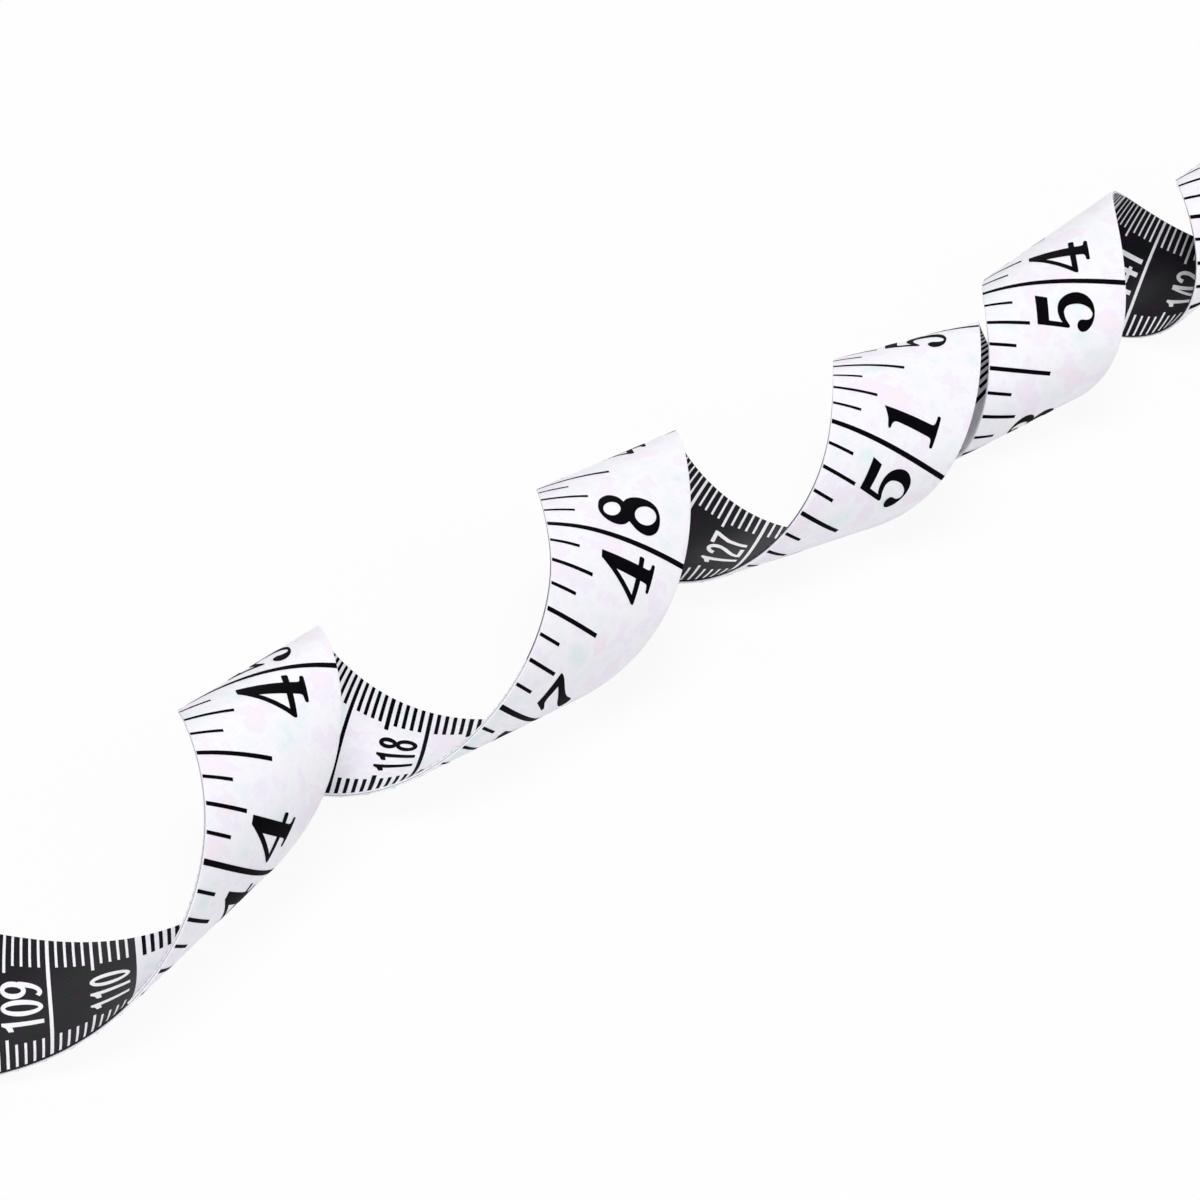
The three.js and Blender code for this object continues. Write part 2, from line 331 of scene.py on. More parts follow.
def make_camera():
    data = bpy.data.cameras.new("camera")
    camera = bpy.data.objects.new("camera", data)
    bpy.context.collection.objects.link(camera)
    right = Vector((0.7249, -0.6889, 0)).normalized()
    back = Vector((-0.5277, -0.5553, 0.6428)).normalized()
    up = back.cross(right).normalized()
    place = Vector(placed(CAMERA_TARGET)) + back * CAMERA_DISTANCE * MM
    camera.matrix_world = Matrix((
        (right.x, up.x, back.x, place.x),
        (right.y, up.y, back.y, place.y),
        (right.z, up.z, back.z, place.z),
        (0, 0, 0, 1),
    ))
    data.sensor_width = SENSOR_WIDTH
    data.lens = SENSOR_WIDTH * PIXELS_PER_MM * CAMERA_DISTANCE / PHOTO_WIDTH
    data.clip_start = CLIP_NEAR
    data.clip_end = CLIP_FAR
    bpy.context.scene.camera = camera


make_camera()


# Materials
THREADS_PER_MM = 2.6
MOTTLE_LOW, MOTTLE_HIGH = 0.32, 0.68
WEAVE_DEPTH = 0.012
SCRATCH_DEPTH = 0.01


def new_material(name):
    """A material with one principled shader."""
    material = bpy.data.materials.new(name)
    material.use_nodes = True
    tree = material.node_tree
    tree.nodes.clear()
    output = tree.nodes.new("ShaderNodeOutputMaterial")
    shader = tree.nodes.new("ShaderNodeBsdfPrincipled")
    tree.links.new(shader.outputs["BSDF"], output.inputs["Surface"])
    return material, tree, shader


def node(tree, kind, inputs=None, **settings):
    """A node with its inputs set to values or linked to sockets."""
    made = tree.nodes.new(kind)
    for name, value in settings.items():
        setattr(made, name, value)
    for name, value in (inputs or {}).items():
        if isinstance(value, bpy.types.NodeSocket):
            tree.links.new(value, made.inputs[name])
        else:
            made.inputs[name].default_value = value
    return made


def linear(red, green, blue):
    """A colour written as on a screen, 0 to 255."""
    def one(c):
        c /= 255
        return c / 12.92 if c <= 0.04045 else ((c + 0.055) / 1.055) ** 2.4
    return (one(red), one(green), one(blue), 1)


def cloth_height(tree):
    """The UV map, in millimetres, and the height of a plain weave that shows through the coating."""
    uv = node(tree, "ShaderNodeUVMap", uv_map="tape")
    parts = node(tree, "ShaderNodeSeparateXYZ", {"Vector": uv.outputs["UV"]})
    waves = []
    for axis in ("X", "Y"):
        scaled = node(tree, "ShaderNodeMath", {0: parts.outputs[axis], 1: TURN / 2 * THREADS_PER_MM},
                      operation="MULTIPLY")
        waves.append(node(tree, "ShaderNodeMath", {0: scaled.outputs[0]}, operation="SINE"))
    over = node(tree, "ShaderNodeMath", {0: waves[0].outputs[0], 1: waves[1].outputs[0]},
                operation="MULTIPLY")
    return uv, over


def coated_cloth(name, tones, patches, roughness, weave, gloss):
    """Coating over a plain weave. Its tones, in even steps of a soft mottle, show as broad patches."""
    material, tree, shader = new_material(name)
    uv, over = cloth_height(tree)
    broad = node(tree, "ShaderNodeTexNoise", {"Vector": uv.outputs["UV"], "Scale": patches, "Detail": 4,
                                              "Roughness": 0.62})
    mottle = node(tree, "ShaderNodeValToRGB", {"Fac": broad.outputs["Fac"]})
    stops = mottle.color_ramp.elements
    mottle.color_ramp.interpolation = "EASE"
    for k, tone in enumerate(tones):
        place = MOTTLE_LOW + (MOTTLE_HIGH - MOTTLE_LOW) * k / (len(tones) - 1)
        if k < 2:
            stops[k].position = place
        else:
            stops.new(place)
        stops[k].color = tone
    # the threads' crossings are a shade lighter than the hollows between them
    thread = node(tree, "ShaderNodeMapRange", {"Value": over.outputs[0], "From Min": -1, "From Max": 1,
                                               "To Min": 1 - weave, "To Max": 1})
    toned = node(tree, "ShaderNodeVectorMath", {0: mottle.outputs["Color"], "Scale": thread.outputs[0]},
                 operation="SCALE")
    tree.links.new(toned.outputs[0], shader.inputs["Base Color"])
    fine = node(tree, "ShaderNodeTexNoise", {"Vector": uv.outputs["UV"], "Scale": 1.7, "Detail": 4})
    rough = node(tree, "ShaderNodeMapRange", {"Value": fine.outputs["Fac"], "To Min": roughness - 0.06,
                                              "To Max": roughness + 0.1})
    tree.links.new(rough.outputs[0], shader.inputs["Roughness"])
    height = node(tree, "ShaderNodeMath", {0: fine.outputs["Fac"], 1: 0.6, 2: over.outputs[0]},
                  operation="MULTIPLY_ADD")
    bump = node(tree, "ShaderNodeBump", {"Height": height.outputs[0], "Strength": 0.35,
                                         "Distance": WEAVE_DEPTH * MM})
    tree.links.new(bump.outputs["Normal"], shader.inputs["Normal"])
    shader.inputs["Specular IOR Level"].default_value = gloss
    return material


def ink(name, colour, worn, gloss):
    """Ink that is a little worn in patches, most on the weave's crossings."""
    material, tree, shader = new_material(name)
    uv, over = cloth_height(tree)
    patch = node(tree, "ShaderNodeTexNoise", {"Vector": uv.outputs["UV"], "Scale": 1.1, "Detail": 4,
                                              "Roughness": 0.65})
    thin = node(tree, "ShaderNodeMath", {0: over.outputs[0], 1: 0.08, 2: patch.outputs["Fac"]},
                operation="MULTIPLY_ADD")
    share = node(tree, "ShaderNodeMapRange", {"Value": thin.outputs[0], "From Min": 0.45,
                                              "From Max": 0.8})
    mix = node(tree, "ShaderNodeMix", {"Factor": share.outputs[0], "A": colour, "B": worn},
               data_type="RGBA")
    tree.links.new(mix.outputs["Result"], shader.inputs["Base Color"])
    rough = node(tree, "ShaderNodeMapRange", {"Value": patch.outputs["Fac"], "To Min": 0.5,
                                              "To Max": 0.75})
    tree.links.new(rough.outputs[0], shader.inputs["Roughness"])
    shader.inputs["Specular IOR Level"].default_value = gloss
    return material


def cut_edge(name):
    """The cut edge, where the cloth's threads show between the two coatings."""
    material, tree, shader = new_material(name)
    uv = node(tree, "ShaderNodeUVMap", uv_map="tape")
    parts = node(tree, "ShaderNodeSeparateXYZ", {"Vector": uv.outputs["UV"]})
    scaled = node(tree, "ShaderNodeMath", {0: parts.outputs["X"], 1: TURN * THREADS_PER_MM},
                  operation="MULTIPLY")
    wave = node(tree, "ShaderNodeMath", {0: scaled.outputs[0]}, operation="SINE")
    tone = node(tree, "ShaderNodeMapRange", {"Value": wave.outputs[0], "From Min": -1, "From Max": 1})
    mix = node(tree, "ShaderNodeMix", {"Factor": tone.outputs[0], "A": linear(158, 154, 166),
                                       "B": linear(190, 186, 196)}, data_type="RGBA")
    tree.links.new(mix.outputs["Result"], shader.inputs["Base Color"])
    shader.inputs["Roughness"].default_value = 0.8
    shader.inputs["Specular IOR Level"].default_value = 0.2
    return material


def plated_sheet(name):
    """Plated metal, worn dull in places and finely scratched."""
    material, tree, shader = new_material(name)
    place = node(tree, "ShaderNodeTexCoord")
    scratch = node(tree, "ShaderNodeTexNoise", {"Vector": place.outputs["Object"], "Scale": 900,
                                                "Detail": 5, "Roughness": 0.7})
    worn = node(tree, "ShaderNodeTexNoise", {"Vector": place.outputs["Object"], "Scale": 160,
                                             "Detail": 3})
    rough = node(tree, "ShaderNodeMapRange", {"Value": worn.outputs["Fac"], "From Min": 0.3,
                                              "From Max": 0.7, "To Min": 0.24, "To Max": 0.4})
    tree.links.new(rough.outputs[0], shader.inputs["Roughness"])
    tone = node(tree, "ShaderNodeMix", {"Factor": worn.outputs["Fac"], "A": linear(170, 171, 175),
                                        "B": linear(198, 198, 201)}, data_type="RGBA")
    tree.links.new(tone.outputs["Result"], shader.inputs["Base Color"])
    bump = node(tree, "ShaderNodeBump", {"Height": scratch.outputs["Fac"], "Strength": 0.25,
                                         "Distance": SCRATCH_DEPTH * MM})
    tree.links.new(bump.outputs["Normal"], shader.inputs["Normal"])
    shader.inputs["Metallic"].default_value = 1
    return material


WHITE_COAT = coated_cloth("white_coating", [
    linear(228, 240, 243), linear(240, 242, 248), linear(245, 244, 249), linear(242, 236, 248),
    linear(247, 236, 243)], 0.2, 0.45, 0.02, 0.2)
DARK_COAT = coated_cloth("dark_coating", [
    linear(10, 24, 17), linear(24, 21, 28), linear(34, 19, 36)], 0.35, 0.45, 0.15, 0.12)
EDGE = cut_edge("cut_edge")
BLACK_INK = ink("black_ink", linear(3, 2, 5), linear(11, 9, 14), 0.02)
WHITE_INK = ink("white_ink", linear(248, 247, 251), linear(238, 237, 243), 0.2)
TIP_METAL = plated_sheet("tip_metal")


# Meshes

def mesh_piece(name, points, faces, materials, face_slots=None, uv=None, smooth_angle=None):
    """A smooth-shaded piece from points in millimetres."""
    mesh = bpy.data.meshes.new(name)
    mesh.from_pydata([tuple(p) for p in placed(points).tolist()], [], faces)
    for material in materials:
        mesh.materials.append(material)
    if face_slots is not None:
        mesh.polygons.foreach_set("material_index", face_slots)
    if uv is not None:
        layer = mesh.uv_layers.new(name="tape")
        corners = np.zeros(len(mesh.loops), int)
        mesh.loops.foreach_get("vertex_index", corners)
        layer.data.foreach_set("uv", uv[corners].astype(np.float32).ravel())
    mesh.polygons.foreach_set("use_smooth", [True] * len(mesh.polygons))
    if smooth_angle is not None:
        mesh.set_sharp_from_angle(angle=smooth_angle)
    mesh.update()
    piece = bpy.data.objects.new(name, mesh)
    bpy.context.collection.objects.link(piece)
    return piece


# The tape: sections every 5/8 mm, so that each 10 cm block ends on one
SECTION_STEP = 0.625
SHORTEST_SECTION_STEP = 0.1
ACROSS_STEPS = 24
CORNER = 0.09
EDGE_LINE = 0.1
SHARP_EDGE = 60
CM = 10
BLOCK = 10 * CM
WHITE_SLOT, DARK_SLOT, EDGE_SLOT = 0, 1, 2


def section():
    """Corners (v, rise) round the section, starting on the hollow side at the inch ticks' edge, and
    the name of each side."""
    half, skin = TAPE_WIDTH / 2, TAPE_THICKNESS / 2
    flat = [(v, skin) for v in np.linspace(half - CORNER, CORNER - half, ACROSS_STEPS + 1)]
    bend = [(CORNER * (1 - math.sin(a)), CORNER * (1 - math.cos(a))) for a in np.radians([30, 60, 90])]
    edge = [(inset - half, skin - drop) for inset, drop in bend] + [(-half, EDGE_LINE / 2)]
    upper = flat + edge
    lower = [(v, -rise) for v, rise in upper][::-1]
    # the rounding at the first edge is the one at the other edge, mirrored
    start = [(-v, rise) for v, rise in edge]
    ring = upper + lower + [(v, -rise) for v, rise in start] + start[::-1]
    sides = (["hollow"] * (len(upper) - 1) + ["cut"] + ["outer"] * (len(lower) + len(start) - 1)
             + ["cut"] + ["hollow"] * len(start))
    return np.array(ring), sides


def make_tape():
    ring, sides = section()
    count = len(ring)
    stations = np.arange(0, TAPE_LENGTH - SHORTEST_SECTION_STEP, SECTION_STEP)
    stations = np.append(stations, TAPE_LENGTH)
    s_all = np.repeat(stations, count)
    v_all = np.tile(ring[:, 0], len(stations))
    points = ribbon.at(s_all, v_all, np.tile(ring[:, 1], len(stations)))
    faces, slots = [], []
    for i in range(len(stations) - 1):
        dark = int((stations[i] + SECTION_STEP / 2) // BLOCK) % 2 == 0
        slot_of = {"hollow": DARK_SLOT if dark else WHITE_SLOT, "outer": WHITE_SLOT, "cut": EDGE_SLOT}
        for c, side in enumerate(sides):
            a, b = i * count + c, i * count + (c + 1) % count
            faces.append((a, a + count, b + count, b))
            slots.append(slot_of[side])
    faces.append(tuple(range(count)))
    faces.append(tuple(range((len(stations) - 1) * count, len(stations) * count))[::-1])
    slots += [EDGE_SLOT, EDGE_SLOT]
    uv = np.stack([s_all, v_all], 1)
    return mesh_piece("tape", points, faces, [WHITE_COAT, DARK_COAT, EDGE], slots, uv,
                      math.radians(SHARP_EDGE))


tape = make_tape()
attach(tape, "root")
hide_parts("tape_roll", "tape_spiral")


# Figures. A glyph is its width and its shapes, in hundredths of its height, with x to the right and y
# up. A shape is an outline, and the outlines of any holes in it.

# Ink faces are cut this finely along and across the tape, so that they bend with it
INK_STEP_ALONG, INK_STEP_ACROSS = 0.7, 0.8
LEAST_AREA = 1e-6


def arc(cx, cy, rx, ry, start, end, steps=14):
    angles = np.radians(np.linspace(start, end, steps + 1))
    return [(cx + rx * math.cos(a), cy + ry * math.sin(a)) for a in angles]


def oval(cx, cy, rx, ry, tilt=0):
    """A closed ellipse, its longer axis turned by the tilt."""
    c, s = math.cos(math.radians(tilt)), math.sin(math.radians(tilt))
    return [(cx + x * c - y * s, cy + x * s + y * c) for x, y in arc(0, 0, rx, ry, 0, 360, 28)[:-1]]


def band(outer, inner, start, end, steps=18):
    """The stroke between two ellipses, from one angle to another."""
    return [arc(*outer, start, end, steps) + arc(*inner, start, end, steps)[::-1]]


def curved(*points, steps=4):
    """A smooth line through the points."""
    ends = [points[0], *points, points[-1]]
    line = []
    for i in range(len(points) - 1):
        p = np.array(ends[i:i + 4], float)
        for t in np.arange(steps) / steps:
            weights = [-t + 2 * t * t - t ** 3, 2 - 5 * t * t + 3 * t ** 3,
                       t + 4 * t * t - 3 * t ** 3, t ** 3 - t * t]
            line.append(tuple(np.array(weights) @ p / 2))
    return line + [points[-1]]


def turned(shapes, width):
    """The shapes turned upside down."""
    return [[[(width - x, 100 - y) for x, y in loop] for loop in shape] for shape in shapes]


def serif_glyphs():
    """Bold figures with thick and thin strokes, ball ends and flat feet."""
    foot = [(28.5, 0), (26.5, 1.5), (26.5, 4.8), (28.5, 6.3)]
    six = [[oval(35, 31, 33, 31), oval(35, 31, 14, 24.5)],
           band((38, 50, 36, 50), (44, 50, 23, 43.5), 62, 190), [oval(57, 82, 10, 10)]]
    return {
        "0": (68, [[oval(34, 50, 34, 50), oval(34, 50, 14, 43)]]),
        "1": (56, [[
            curved((37, 100), (28, 95.8), (15.6, 91.4), (3, 89.2), (0, 86.7), (3, 84), (9, 83),
                   (14.5, 79.5), (16.5, 74))
            + curved((16.5, 14), (15, 9), (9, 7), (3.5, 6.3))
            + [(1.8, 4.8), (1.8, 1.5), (3.5, 0), (54.5, 0), (56.2, 1.5), (56.2, 4.8)]
            + curved((54.5, 6.3), (46, 7), (39, 9.5), (37.3, 15)),
        ]]),
        "2": (68, [
            band((33, 70, 31, 30), (30, 71, 16, 23.5), -28, 170), [oval(13, 73, 11, 11)],
            [[(60.5, 56), (44, 59), (38, 48), (24, 33), (8, 17), (2, 6), (2, 0), (12, 4), (22, 17),
              (38, 29), (52, 41)]],
            [[(2, 0), (58, 0), (67, 28), (62, 28), (55, 19), (44, 17), (24, 18), (10, 10), (2, 6)]],
        ]),
        "3": (66, [
            band((31, 76, 28, 25), (27, 76, 13, 18.5), -82, 168), [oval(13, 79, 10.5, 10.5)],
            band((31, 28, 34, 28.5), (27, 28, 15, 22), -166, 84), [oval(12, 20, 11.5, 11.5)],
            [[(20, 48), (34, 49), (40, 54), (40, 57), (33, 55.5), (20, 55)]],
        ]),
        "4": (75.5, [[
            [(47.5, 100), (60.6, 100), (60.6, 31.8), (73.5, 31.8), (75.5, 30), (75.5, 24),
             (73.5, 22.2), (60.6, 22.2)]
            + curved((60.6, 12), (62.5, 8), (70, 6.3)) + [(72, 4.8), (72, 1.5), (70, 0)] + foot
            + curved((30, 6.4), (37.5, 8), (39.3, 12))
            + [(39.3, 22.2), (2, 22.2), (0, 24), (0, 27.5)],
            [(39.3, 71.5), (39.3, 31.8), (13.2, 31.8)],
        ]]),
        "5": (67.5, [[
            [(7, 100), (60.5, 100), (56.5, 80), (15, 80)]
            + curved((13.5, 57), (22, 62.5), (34, 64.6), (49, 61), (61.5, 49), (67.5, 32.5),
                     (64.5, 17), (55, 6), (42, 0.8), (28, 0.4), (14, 4.5), (4, 12.5), (0.7, 20.5))
            + arc(11, 20.5, 10.3, 10.3, 170, 10, 8)
            + curved((21, 18), (22, 11), (26, 5.8), (33, 4.4), (41, 10), (46, 21), (46.5, 34),
                     (42.5, 47), (35.5, 52.6), (28.5, 53.5), (19.5, 51), (11.5, 45.5))
            + [(9, 43.9), (6, 44.3), (5, 47.5)],
        ]]),
        "6": (68, six),
        "7": (66, [[
            [(8.5, 100), (64.5, 100)]
            + curved((65.8, 97), (62.4, 87), (54, 72), (46.6, 57.4), (41, 42), (38.6, 28),
                     (38.3, 13), (36, 4), (27, 0), (18.5, 4), (16, 12), (17.5, 23), (22, 38),
                     (30.5, 55), (39, 71), (46, 83.5))
            + curved((24, 83.5), (15.5, 80.5), (10.5, 73), (7.5, 66), (5, 61.8))
            + [(2, 61.5), (0.5, 64)],
        ]]),
        "8": (69, [[
            curved((53.5, 59.5), (61, 53.5), (67, 43), (68.8, 31), (65.5, 15), (55, 3.8),
                   (36, -0.5), (16, 3), (3.5, 14), (0, 27), (4, 41), (15, 53))
            + curved((15, 53), (6, 62), (2.5, 76), (7.5, 90.5), (19, 99), (33, 101), (51, 97),
                     (62, 87), (64.8, 77), (61.5, 67), (53.5, 59.5))[1:-1],
            oval(33, 79.5, 17, 12.3, -35), oval(35.5, 24.5, 20.5, 16, -45),
        ]]),
        "9": (68, turned(six, 68)),
    }


def plain_glyphs(pen):
    """Narrow rounded figures, all as wide, of one stroke that is a little thinner where it lies flat."""
    thin = pen * 0.74

    def stroke(cx, cy, rx, ry, start, end):
        return band((cx, cy, rx, ry), (cx, cy, rx - pen, ry - thin), start, end)

    def full(cx, cy, rx, ry):
        return [oval(cx, cy, rx, ry), oval(cx, cy, rx - pen, ry - thin)]

    left, right, middle, width = 1.5, 51.5, 26.5, 53
    six = [full(26.5, 31, 25, 31), stroke(31.5, 47, 30, 53, 62, 184)]
    return {
        "0": (width, [full(middle, 50, 25.5, 50)]),
        "1": (width, [[[(20, 0), (20 + pen, 0), (20 + pen, 100), (26, 100), (19, 90), (5, 84), (5, 72),
                        (20, 75)]]]),
        "2": (width, [stroke(middle, 73, 24.5, 27, -24, 172),
                      [[(49, 62), (36.5, 66.5), (29, 53), (9, 28), (left, 12), (left, 0), (15, 11),
                        (22, 24), (42, 48)]],
                      [[(left, 0), (right, 0), (right, thin), (left, thin)]]]),
        "3": (width, [stroke(middle, 73.5, 23, 26.5, -90, 165), stroke(middle, 29, 25, 29, -165, 90),
                      [[(18, 46.5), (28, 46.5), (28, 58), (18, 58)]]]),
        "4": (width, [[[(44 - pen, 0), (44, 0), (44, 100), (42 - pen, 100), (left - 1, 34), (left - 1, 22),
                        (44 - pen, 22)],
                       [(44 - pen, 78), (44 - pen, 33), (12, 33)]],
                      [[(43, 22), (53, 22), (53, 33), (43, 33)]]]),
        "5": (width, [[[(7, 100 - thin), (48, 100 - thin), (48, 100), (7, 100)]],
                      [[(4, 44), (4 + pen, 46), (6 + pen, 94), (7, 94)]],
                      stroke(25.5, 31.5, 25.5, 31.5, -160, 140)]),
        "6": (width, six),
        "7": (width, [[[(left, 100 - thin), (36, 100 - thin), (20, 55), (15, 20), (14, 0),
                        (14 + pen, 0), (29, 22), (34, 52), (right, 90), (right, 100), (left, 100)]]]),
        "8": (width, [full(middle, 76, 21.5, 24), full(middle, 28.5, 25, 28.5)]),
        "9": (width, turned(six, width)),
    }


def clip_band(polygon, axis, low_side, high_side):
    """The part of a convex polygon between two lines across one axis."""
    for limit, sign in ((low_side, 1), (high_side, -1)):
        kept = []
        for i, here in enumerate(polygon):
            before = polygon[i - 1]
            a, b = sign * (before[axis] - limit), sign * (here[axis] - limit)
            if (a >= 0) != (b >= 0):
                t = a / (a - b)
                kept.append(tuple(before[k] + (here[k] - before[k]) * t for k in (0, 1)))
            if b >= 0:
                kept.append(here)
        polygon = kept
        if len(polygon) < 3:
            return []
    return polygon


def cut_shape(loops, step_x, step_y):
    """Convex faces that fill a shape, none wider than the steps, so that they bend with the tape."""
    faces = []
    points = [point for loop in loops for point in loop]
    for triangle in tessellate_polygon([[Vector((x, y, 0)) for x, y in loop] for loop in loops]):
        corners = [points[k] for k in triangle]
        x0, x1 = min(p[0] for p in corners), max(p[0] for p in corners)
        for i in range(math.floor(x0 / step_x), math.floor(x1 / step_x) + 1):
            strip = clip_band(corners, 0, i * step_x, (i + 1) * step_x)
            if not strip:
                continue
            y0, y1 = min(p[1] for p in strip), max(p[1] for p in strip)
            for j in range(math.floor(y0 / step_y), math.floor(y1 / step_y) + 1):
                cell = clip_band(strip, 1, j * step_y, (j + 1) * step_y)
                if len(cell) >= 3:
                    area = sum(a[0] * b[1] - a[1] * b[0] for a, b in zip(cell, cell[1:] + cell[:1]))
                    if abs(area) > LEAST_AREA:
                        faces.append(cell if area > 0 else cell[::-1])
    return faces


class Print:
    """Faces of ink on one side of the tape."""

    # how far the ink stands off the coating, and each layer off the one below
    LIFT = 0.02
    LAYER = 0.003

    def __init__(self, hollow):
        self.hollow = hollow
        self.places = []
        self.faces = []

    def add(self, corners, layer=0):
        """A face by its corners (s, v), in order as seen from outside the tape."""
        first = len(self.places)
        self.places += [(s, v, layer) for s, v in corners]
        self.faces.append(tuple(range(first, first + len(corners))))

    def bar(self, s, width, v0, v1, layer=0):
        """A straight line across the tape, from v0 to v1."""
        count = max(1, math.ceil(abs(v1 - v0) / INK_STEP_ACROSS))
        low_v, high_v = min(v0, v1), max(v0, v1)
        for i in range(count):
            a = low_v + (high_v - low_v) * i / count
            b = low_v + (high_v - low_v) * (i + 1) / count
            corners = [(s - width / 2, a), (s + width / 2, a), (s + width / 2, b), (s - width / 2, b)]
            self.add(corners[::-1] if self.hollow else corners, layer)

    def piece(self, name, material):
        """All the faces as one mesh."""
        places = np.array(self.places)
        lift = TAPE_THICKNESS / 2 + self.LIFT + self.LAYER * places[:, 2]
        points = ribbon.at(places[:, 0], places[:, 1], lift if self.hollow else -lift)
        return mesh_piece(name, points, self.faces, [material], uv=places[:, :2])


def glyph_faces(glyphs, height, along_is_x):
    """Each glyph's width and its faces in millimetres, with the layer of each."""
    unit_size = height / 100
    steps = (INK_STEP_ALONG, INK_STEP_ACROSS)
    if not along_is_x:
        steps = steps[::-1]
    made = {}
    for name, (width, shapes) in glyphs.items():
        faces = []
        for layer, loops in enumerate(shapes):
            loops = [[(x * unit_size, y * unit_size) for x, y in loop] for loop in loops]
            faces += [(layer, face) for face in cut_shape(loops, *steps)]
        made[name] = (width * unit_size, faces)
    return made


# The inch scale, on the outer side
PRINT_MARGIN = 0.06
INCH = 25.4
EIGHTH_REACH = 3.66
QUARTER_REACH = 5.61
HALF_REACH = 8.98
INCH_LINE = 0.7
HALF_LINE = 0.56
QUARTER_LINE = 0.48
EIGHTH_LINE = 0.43
INCH_FIGURE_HEIGHT = 7.9
INCH_FIGURE_BASE = 14.6
INCH_FIGURE_PLACE = 4.35


def make_inch_print():
    edge = TAPE_WIDTH / 2 - PRINT_MARGIN
    scale = Print(hollow=False)
    for eighth in range(1, int(TAPE_LENGTH / INCH * 8 + 0.5)):
        s = eighth * INCH / 8
        if eighth % 8 == 0:
            scale.bar(s, INCH_LINE, edge, -edge)
        elif eighth % 4 == 0:
            scale.bar(s, HALF_LINE, edge, edge - HALF_REACH)
        elif eighth % 2 == 0:
            scale.bar(s, QUARTER_LINE, edge, edge - QUARTER_REACH)
        else:
            scale.bar(s, EIGHTH_LINE, edge, edge - EIGHTH_REACH)
    figures = glyph_faces(serif_glyphs(), INCH_FIGURE_HEIGHT, True)
    base = TAPE_WIDTH / 2 - INCH_FIGURE_BASE
    for inch in range(1, int(TAPE_LENGTH / INCH + 0.5)):
        text = str(inch)
        for k, digit in enumerate(text):
            width, faces = figures[digit]
            middle = inch * INCH + (-1 if k == 0 else 1) * INCH_FIGURE_PLACE
            for layer, face in faces:
                scale.add([(middle - width / 2 + x, base + y) for x, y in face], layer + 1)
    return scale.piece("inch_print", BLACK_INK)


# The centimetre scale, on the hollow side. The two inks were printed a little out of line.
TICK_REACH = 3.8
FIVE_REACH = 4.75
CM_FIGURE_HEIGHT = 4.7
CM_FIGURE_GAP = 0.8
CM_FIGURE_PITCH = 2.48
WHITE_BLOCKS = {"tick": 0.46, "five": 0.54, "cm": 0.5, "pen": 16, "offset": 0.3}
DARK_BLOCKS = {"tick": 0.3, "five": 0.34, "cm": 0.42, "pen": 15, "offset": -0.25}


def make_cm_print(name, material, lines, parity):
    """The scale on every second 10 cm block."""
    edge = TAPE_WIDTH / 2 - PRINT_MARGIN
    offset = lines["offset"]
    scale = Print(hollow=True)
    for mm in range(1, int(TAPE_LENGTH / CM) * CM):
        if mm % BLOCK == 0 or mm // BLOCK % 2 != parity:
            continue
        if mm % CM == 0:
            scale.bar(mm, lines["cm"], edge, -edge)
        else:
            reach, line = (FIVE_REACH, lines["five"]) if mm % (CM // 2) == 0 else (TICK_REACH, lines["tick"])
            scale.bar(mm, line, edge, edge - reach + offset)
            scale.bar(mm, line, -edge, reach - edge + offset)
    figures = glyph_faces(plain_glyphs(lines["pen"]), CM_FIGURE_HEIGHT, False)
    for cm in range(1, int(TAPE_LENGTH / CM) + 1):
        s = cm * CM
        if (s - 1) // BLOCK % 2 != parity:
            continue
        for k, digit in enumerate(str(cm)):
            width, faces = figures[digit]
            middle = offset - (k - (len(str(cm)) - 1) / 2) * CM_FIGURE_PITCH
            for layer, face in faces:
                corners = [(s - CM_FIGURE_GAP - y, middle + width / 2 - x) for x, y in face]
                scale.add(corners, layer + 1)
    return scale.piece(name, material)


prints = [make_inch_print(), make_cm_print("cm_print_on_white", BLACK_INK, WHITE_BLOCKS, 1),
          make_cm_print("cm_print_on_dark", WHITE_INK, DARK_BLOCKS, 0)]
for piece in prints:
    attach(piece, "root")


# The end tips keep their solids
for name in ("zero_end_tip", "far_end_tip"):
    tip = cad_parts[name]
    tip.data.materials.clear()
    tip.data.materials.append(TIP_METAL)


# Stage: floor, world and lamps, in metres
FLOOR_REACH = 4
FLOOR_DROP = 0.00002
FLOOR_GLOW_SHARE = 0.92
FILL_STRENGTH = 0.24
LAMP_SIZE = 0.9
LAMP_DISTANCE = 1.5


def looked_at(tree):
    """1 where a ray comes from the camera, a reflection or a clear material, and 0 for other light."""
    path = node(tree, "ShaderNodeLightPath")
    seen = node(tree, "ShaderNodeMath", {0: path.outputs["Is Camera Ray"],
                                         1: path.outputs["Is Glossy Ray"]}, operation="MAXIMUM")
    seen = node(tree, "ShaderNodeMath", {0: seen.outputs[0],
                                         1: path.outputs["Is Transmission Ray"]}, operation="MAXIMUM")
    return seen.outputs[0]


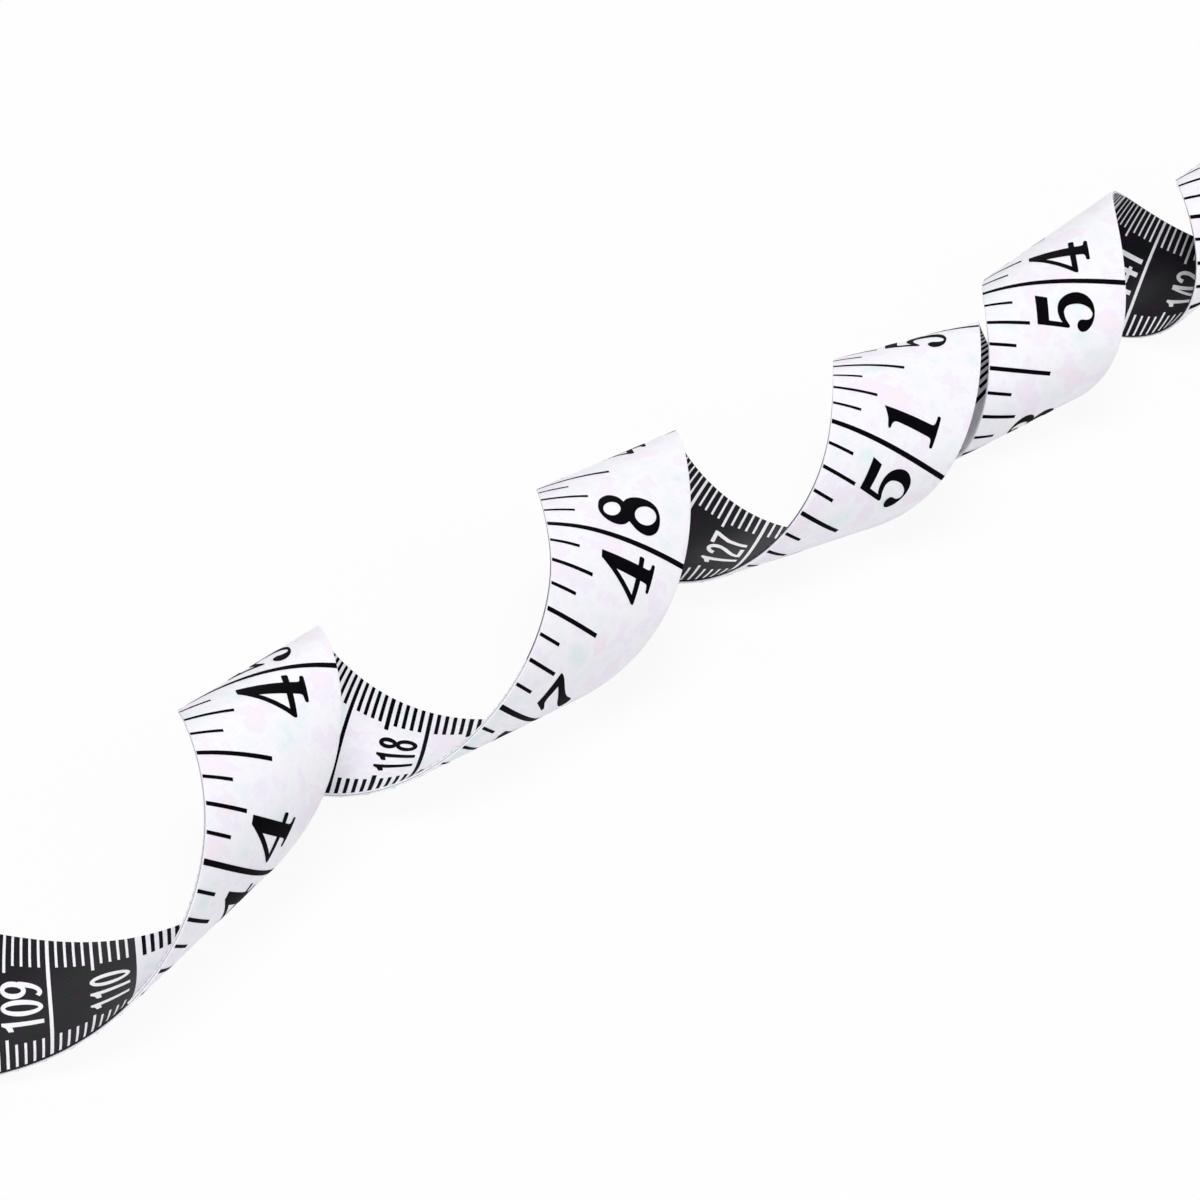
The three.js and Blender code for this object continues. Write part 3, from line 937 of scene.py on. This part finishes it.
def make_floor():
    """A matt floor that glows white where it is looked at."""
    size = FLOOR_REACH
    mesh = bpy.data.meshes.new("floor")
    corners = [(-size, -size), (size, -size), (size, size), (-size, size)]
    mesh.from_pydata([(x, y, -FLOOR_DROP) for x, y in corners], [], [(0, 1, 2, 3)])
    floor = bpy.data.objects.new("floor", mesh)
    bpy.context.collection.objects.link(floor)
    material = bpy.data.materials.new("floor")
    material.use_nodes = True
    tree = material.node_tree
    tree.nodes.clear()
    output = node(tree, "ShaderNodeOutputMaterial")
    paint = node(tree, "ShaderNodeBsdfDiffuse", {"Color": (0.86, 0.86, 0.87, 1)})
    glow = node(tree, "ShaderNodeEmission", {"Color": (1, 1, 1, 1), "Strength": 1.0})
    share = node(tree, "ShaderNodeMath", {0: looked_at(tree), 1: FLOOR_GLOW_SHARE},
                 operation="MULTIPLY")
    both = node(tree, "ShaderNodeMixShader", {"Fac": share.outputs[0], 1: paint.outputs[0],
                                              2: glow.outputs[0]})
    tree.links.new(both.outputs[0], output.inputs["Surface"])
    mesh.materials.append(material)


def make_world():
    """White where it is looked at, and a weak fill light for the rest."""
    world = bpy.data.worlds.new("world")
    bpy.context.scene.world = world
    world.use_nodes = True
    tree = world.node_tree
    tree.nodes.clear()
    output = node(tree, "ShaderNodeOutputWorld")
    fill = node(tree, "ShaderNodeBackground", {"Color": (1, 1, 1, 1), "Strength": FILL_STRENGTH})
    white = node(tree, "ShaderNodeBackground", {"Color": (1, 1, 1, 1), "Strength": 1.0})
    both = node(tree, "ShaderNodeMixShader", {"Fac": looked_at(tree),
                                              1: fill.outputs[0], 2: white.outputs[0]})
    tree.links.new(both.outputs[0], output.inputs["Surface"])


def area_lamp(name, azimuth, elevation, power):
    """A round lamp that faces the object. Azimuth 0 is +X and 90 is +Y."""
    data = bpy.data.lights.new(name, "AREA")
    data.shape = "DISK"
    data.size = LAMP_SIZE
    data.energy = power
    lamp = bpy.data.objects.new(name, data)
    bpy.context.collection.objects.link(lamp)
    a, e = math.radians(azimuth), math.radians(elevation)
    toward = Vector((math.cos(e) * math.cos(a), math.cos(e) * math.sin(a), math.sin(e)))
    lamp.location = toward * LAMP_DISTANCE
    lamp.rotation_mode = "QUATERNION"
    lamp.rotation_quaternion = (-toward).to_track_quat("-Z", "Y")
    return lamp


make_floor()
make_world()
area_lamp("top", 226, 85, 13.4)
area_lamp("front", 226, 12, 5)
area_lamp("side", 280, 40, 4.2)
area_lamp("back", 46, 30, 4.6)

bpy.context.scene.view_settings.view_transform = "Standard"
